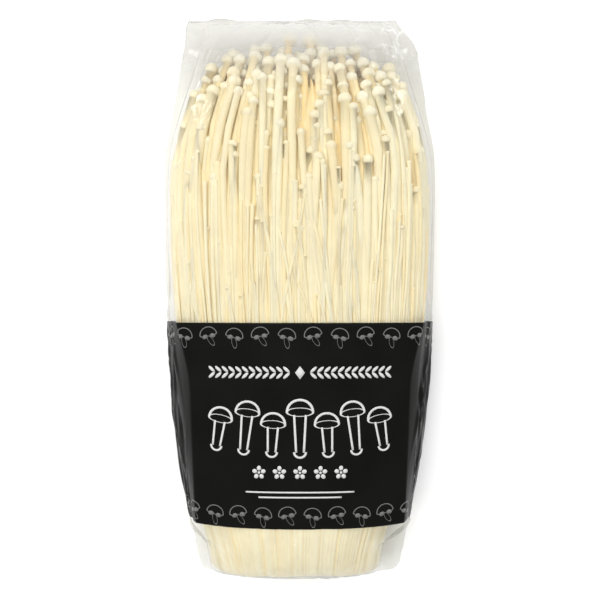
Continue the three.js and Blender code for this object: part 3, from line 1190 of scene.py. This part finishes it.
@dataclass
class FilmBag:
    """The clear bag: a closed sheet that hugs the mushrooms, with thin fins at its sides and a flat lip."""

    shape: PackShape
    finish: Finish
    columns: int = 320
    rows: int = 200
    set_in: float = 0.05
    under_print: float = 0.25
    lowest: float = 0.02
    weld_distance: float = 0.003
    seam_inset: float = 0.9
    seam_wave: float = 1.4

    def build(self) -> None:
        """Roll a grid into the bag and close it along its seams."""
        deselect_all()
        bpy.ops.mesh.primitive_grid_add(x_subdivisions=self.columns, y_subdivisions=self.rows, size=2)
        raw, faces = take_mesh(bpy.context.object)
        share = raw[:, 0]
        y = raw[:, 1] * self.shape.half_length
        points = self.shape.film_point(y, share, self._lift(y))
        points = self._close_ends(points, share, y)
        points[:, 2] = np.maximum(points[:, 2], self.lowest)
        piece = place_mesh("film_bag_clear", points, faces, self.finish)
        weld(piece, self.weld_distance)
        hand_in(piece, "film_bag")

    def _lift(self, y: Array) -> Array:
        """How far the film stands off its section: set in a little under the print."""
        inside = smooth_between(y, self.shape.band_foot - 1, self.shape.band_foot)
        inside = inside * (1 - smooth_between(y, self.shape.band_top, self.shape.band_top + 1))
        return -self.under_print * inside - self.set_in

    def _close_ends(self, points: Array, share: Array, y: Array) -> Array:
        """Draw the last rows of both ends together into flat seams.

        Args:
            points: Points of the rolled grid.
            share: Shares round the half section.
            y: Places along the pack before rolling.

        Returns:
            The points with closed ends.
        """
        closed = points.copy()
        shape, side = self.shape, np.sign(share)
        length = shape.half_length
        fold = 1 - np.abs(2 * np.abs(share) - 1)
        root = Seam(-1, 2.2, 0.96, 9.0, 0.0)
        mouth = Seam(1, 0.6, 0.985, shape.lip_height, shape.mouth_skew)
        for seam in (root, mouth):
            outline = shape.half_width * float(FILM_WIDTH.at(float(seam.end))) * seam.gather
            x = side * (outline - side * seam.skew) * fold**0.9
            wavy = 0.35 * np.sin(x / 5.1) + 0.25 * np.sin(x / 2.3 + 1)
            along = seam.end * (length - self.seam_inset) + self.seam_wave * wavy
            line = np.stack([x, np.clip(along, -length, length), seam.height + wavy], axis=1)
            weight = smooth_between(seam.end * y, length - seam.reach, length)[:, None]
            closed = closed * (1 - weight) + line * weight
        return closed


@dataclass
class PrintedBand:
    """The black zone of the film, with its border of small mushrooms and its plain line ornament."""

    shape: PackShape
    black: Finish
    white: Finish
    grey: Finish
    columns: int = 288
    rows: int = 64
    thickness: float = 0.08
    lift: float = -0.02
    lowest: float = 0.1
    weld_distance: float = 0.002
    ink_lift: float = 0.035
    ink_lowest: float = 0.06
    ink_thickness: float = 0.03

    def build(self) -> None:
        """Build the band and the ornament printed on it."""
        hand_in(self._sleeve(), "printed_band")
        hand_in(self._border())
        hand_in(self._drawing())

    def _sleeve(self) -> Piece:
        """Roll a grid round the film between the band's two edges, and give it the film's thickness."""
        deselect_all()
        bpy.ops.mesh.primitive_grid_add(x_subdivisions=self.columns, y_subdivisions=self.rows, size=2)
        raw, faces = take_mesh(bpy.context.object)
        middle = (self.shape.band_top + self.shape.band_foot) / 2
        reach = (self.shape.band_top - self.shape.band_foot) / 2
        y = middle + reach * raw[:, 1]
        points = self.shape.bowed(self.shape.film_point(y, raw[:, 0], self.lift))
        points[:, 2] = np.maximum(points[:, 2], self.lowest)
        piece = place_mesh("printed_band_black", points, faces, self.black)
        weld(piece, self.weld_distance)
        thicken(piece, self.thickness)
        return piece

    def _wrap(self, flat: Array) -> Array:
        """Lay flat print on the band.

        Args:
            flat: Distances round the band from the front's middle line, and places along the pack.

        Returns:
            Points just over the band's face.
        """
        share = self.shape.share_at(flat[:, 1], flat[:, 0])
        points = self.shape.bowed(self.shape.film_point(flat[:, 1], share, self.ink_lift))
        points[:, 2] = np.maximum(points[:, 2], self.ink_lowest)
        return points

    def _print(self, name: str, stamps: list[Shape], ink: Finish) -> Piece:
        """Join stamped shapes into one thin piece on the band.

        Args:
            name: Name of the piece.
            stamps: Flat points and faces of each shape, in place.
            ink: Material of the print.

        Returns:
            The piece.
        """
        points, faces = join_shapes(stamps)
        piece = place_mesh(name, self._wrap(points), faces, ink)
        thicken(piece, self.ink_thickness)
        return piece

    def _border(self) -> Piece:
        """Rows of small outline mushrooms along the band's top and foot, all the way round."""
        icon = outline_mushroom()
        stamps = []
        for place, count in ((self.shape.band_top - 4.2, 26), (self.shape.band_foot + 4.3, 24)):
            row = (place + self.shape.half_length) / (2 * self.shape.half_length) * (self.shape.rows - 1)
            half_round = float(self.shape.upper_length[int(row)] + self.shape.lower_length[int(row)])
            for i in range(count):
                around = (2 * (i + 0.5) / count - 1) * half_round
                tilt = math.radians(12 if i % 2 else -12)
                stamps.append(stamped(icon, (around, place + (0.2 if i % 2 else -0.2)), 1.0, tilt))
        return self._print("band_border", stamps, self.grey)

    def _drawing(self) -> Piece:
        """A plain white ornament of leaves, a fan of mushrooms, flowers and rules on the front panel."""
        stamps = self._garland(-24.0) + self._rosettes(-55.2)
        for i in range(-3, 4):
            height = 10.5 if i % 2 else 13.5
            foot = -50.5 + 0.2 * i * i
            size = 1.0 if i else 1.08
            stamps.append(stamped(bold_mushroom(height), (i * 8.9, foot), size, math.radians(3 * i)))
        for place, length in ((-61.4, 34.0), (-63.0, 26.0)):
            stamps.append(stamped(bar(length, 0.5), (0.0, place), 1.0, 0.0))
        return self._print("band_drawing", stamps, self.white)

    def _garland(self, place: float) -> list[Shape]:
        """A chain of small leaves to both sides of a lozenge."""
        stamps = [stamped(disc(0.9, 1.35, 4), (0.0, place), 1.7, 0.0)]
        for side in (-1, 1):
            for i in range(12):
                x = side * (4.2 + 2.15 * i)
                for lean in (-1, 1):
                    tilt = math.radians(180 + side * lean * 42)
                    stamps.append(stamped(disc(1.35, 0.36, 10), (x, place + lean * 0.95), 1.0, tilt))
        return stamps

    def _rosettes(self, place: float) -> list[Shape]:
        """A short row of flowers, each with five round petals about a dot."""
        stamps = []
        for i in range(-2, 3):
            centre = (i * 6.4, place)
            stamps.append(stamped(disc(0.42, 1.0, 10), centre, 1.0, 0.0))
            for turn in range(5):
                angle = turn * 2 * math.pi / 5 + math.pi / 2
                petal = (centre[0] + 1.4 * math.cos(angle), centre[1] + 1.4 * math.sin(angle))
                stamps.append(stamped(disc(0.78, 0.86, 12), petal, 1.0, angle))
        return stamps


def join_shapes(shapes: list[Shape]) -> Shape:
    """Put several flat shapes into one set of points and faces."""
    points, faces, offset = [], [], 0
    for shape_points, shape_faces in shapes:
        points.append(shape_points)
        faces += [tuple(corner + offset for corner in face) for face in shape_faces]
        offset += len(shape_points)
    return np.concatenate(points), faces


def stamped(shape: Shape, place: tuple[float, float], size: float, tilt: float) -> Shape:
    """Copy a flat shape to a place.

    Args:
        shape: Flat points and faces.
        place: Where its own origin goes.
        size: How many times larger.
        tilt: Turn, in radians.

    Returns:
        The copy.
    """
    turn = np.array([[math.cos(tilt), math.sin(tilt)], [-math.sin(tilt), math.cos(tilt)]])
    return shape[0][:, :2] @ turn * size + np.array(place), shape[1]


def bar(length: float, width: float) -> Shape:
    """A straight rule, cut often enough to follow the film."""
    deselect_all()
    bpy.ops.mesh.primitive_grid_add(x_subdivisions=max(int(length / 1.5), 1), y_subdivisions=1, size=1)
    points, faces = take_mesh(bpy.context.object)
    return points[:, :2] * np.array([length, width]), faces


def disc(radius: float, squash: float, sides: int) -> Shape:
    """A flat disc, or an oval where it is squashed."""
    deselect_all()
    bpy.ops.mesh.primitive_circle_add(vertices=sides, radius=radius, fill_type="TRIFAN")
    points, faces = take_mesh(bpy.context.object)
    return points[:, :2] * np.array([1, squash]), faces


def outlined(radius: float, squash: float, line: float, sides: int, halved: bool = False) -> Shape:
    """The outline of a disc or oval: a circle inset to a thin line.

    Args:
        radius: Outer radius.
        squash: Height as a share of width.
        line: Width of the line.
        sides: Corners of the outline.
        halved: True to cut it off below its middle.

    Returns:
        Flat points and faces.
    """
    deselect_all()
    bpy.ops.mesh.primitive_circle_add(vertices=sides, radius=radius, fill_type="NGON")
    piece = bpy.context.object
    bpy.ops.object.mode_set(mode="EDIT")
    bpy.ops.mesh.select_all(action="SELECT")
    bpy.ops.mesh.inset(thickness=line)
    bpy.ops.mesh.delete(type="FACE")
    if halved:
        bpy.ops.mesh.select_all(action="SELECT")
        bpy.ops.mesh.bisect(plane_co=(0, -0.05, 0), plane_no=(0, -1, 0), clear_outer=True)
    bpy.ops.object.mode_set(mode="OBJECT")
    points, faces = take_mesh(piece)
    return points[:, :2] * np.array([1, squash]), faces


def half_dome(radius: float, line: float) -> Shape:
    """The outline of a mushroom's cap."""
    return outlined(radius, 0.92, line, 28, halved=True)


def outline_mushroom() -> Shape:
    """A small line drawing of a mushroom: a domed cap, two lobes of gills and a stem that leans out."""
    shapes = [
        stamped(half_dome(2.9, 0.3), (0, 0.2), 1.0, 0.0),
        stamped(bar(1.0, 0.28), (-2.3, 0.0), 1.0, math.radians(-25)),
        stamped(bar(1.0, 0.28), (2.3, 0.0), 1.0, math.radians(25)),
        stamped(disc(0.9, 0.75, 12), (-1.25, -0.2), 1.0, 0.3),
        stamped(disc(0.9, 0.75, 12), (1.3, -0.2), 1.0, -0.3),
        stamped(outlined(1.9, 0.42, 0.26, 16), (0.4, -1.7), 1.0, math.radians(-66)),
    ]
    return join_shapes(shapes)


def bold_mushroom(height: float) -> Shape:
    """A bold outline mushroom: a domed cap over its gills, and a stem that swells to a round foot."""
    shapes = [
        stamped(half_dome(4.1, 0.75), (0, height - 0.2), 1.0, 0.0),
        stamped(outlined(4.1, 0.32, 0.6, 28), (0, height - 0.3), 1.0, 0.0),
        stamped(half_dome(2.02, 0.65), (0, 1.6), 1.0, math.pi),
    ]
    for side in (-1, 1):
        upright = math.radians(90 - side * 3)
        shapes.append(stamped(bar(height - 2.6, 0.65), (side * 1.4, height / 2 + 0.2), 1.0, upright))
    return join_shapes(shapes)


@dataclass
class Studio:
    """The paper sweep, the soft lights and the camera over the pack."""

    floor_finish: Finish
    camera_height: float = 300.0
    camera_place: float = -1.5
    half_field: float = 101.4
    field_distance: float = 291.0

    def build(self) -> None:
        """Set up floor, lights, backdrop and camera."""
        deselect_all()
        bpy.ops.mesh.primitive_grid_add(
            x_subdivisions=8, y_subdivisions=8, size=6.0, location=(0, 0, -0.02 * MM)
        )
        floor = bpy.context.object
        floor.name = "paper_sweep"
        floor.data.materials.append(self.floor_finish)
        self._soft_box("overhead", (-0.35, 0.1, 1.6), (1.8, 1.8), 32.0, mirrored=False)
        self._soft_box("north", (0.0, 1.3, 0.9), (1.6, 0.8), 6.0)
        self._soft_box("strip_right", (1.1, 0.75, 0.35), (0.2, 0.6), 3.0)
        self._soft_box("strip_left", (-1.1, 0.75, 0.35), (0.2, 0.6), 2.0)
        self._backdrop(0.62, 0.34)
        self._camera()
        settings = bpy.context.scene.view_settings
        settings.view_transform = "Standard"
        settings.look = "None"
        settings.exposure = 0.0
        settings.gamma = 1.0

    def _soft_box(self, name: str, place: tuple, size: tuple, power: float, mirrored: bool = True) -> None:
        """Hang a soft box that faces the pack.

        Args:
            name: Name of the light.
            place: Where it hangs, in metres.
            size: Its sides, in metres.
            power: Its power in watts.
            mirrored: False for a box that glossy faces don't mirror, as behind crossed polarising filters.
        """
        deselect_all()
        bpy.ops.object.light_add(type="AREA", location=place)
        lamp = bpy.context.object
        lamp.name = name
        lamp.data.shape = "RECTANGLE"
        lamp.data.size, lamp.data.size_y = size
        lamp.data.energy = power
        lamp.visible_glossy = mirrored
        lamp.rotation_euler = (-lamp.location).to_track_quat("-Z", "Y").to_euler()

    def _backdrop(self, walls: float, ceiling: float) -> None:
        """Surround the pack with soft white light, dimmer overhead, where the camera hangs.

        Args:
            walls: Strength of the light from the sides.
            ceiling: Strength of the light from straight above.
        """
        world = bpy.data.worlds.new("white studio")
        world.use_nodes = True
        tree = world.node_tree
        tree.nodes.clear()
        place = add_node(tree, "ShaderNodeTexCoord", {})
        axes = add_node(tree, "ShaderNodeSeparateXYZ", {}, {"Vector": place.outputs["Generated"]})
        strength = mapped(tree, axes.outputs["Z"], (0.7, 0.9), (walls, ceiling), "SMOOTHSTEP")
        light = add_node(tree, "ShaderNodeBackground", {}, {"Strength": strength})
        add_node(tree, "ShaderNodeOutputWorld", {}, {"Surface": light.outputs["Background"]})
        bpy.context.scene.world = world

    def _camera(self) -> None:
        """Look straight down on the pack, from the height that the photograph's perspective gives."""
        deselect_all()
        place = (0, self.camera_place * MM, self.camera_height * MM)
        bpy.ops.object.camera_add(location=place, rotation=(0, 0, 0))
        camera = bpy.context.object
        camera.name = "camera_over_pack"
        camera.data.sensor_width = 36.0
        camera.data.lens = 18.0 * self.field_distance / self.half_field
        camera.data.clip_start = 0.01
        bpy.context.scene.camera = camera


def main() -> None:
    """Build the pack and the studio."""
    logging.basicConfig(level=logging.INFO, format="%(message)s")
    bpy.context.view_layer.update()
    shape = PackShape.from_frame()
    MushroomBunch(shape, MushroomFlesh().material()).build()
    FilmBag(shape, ClearFilm().material(shape)).build()
    white = Ink("flexographic ink, white", "#C9C9C7").material()
    grey = Ink("flexographic ink, grey", "#686866").material()
    PrintedBand(shape, BlackPrint().material(), white, grey).build()
    Studio(PaperSweep().material()).build()


if __name__ == "__main__":
    main()
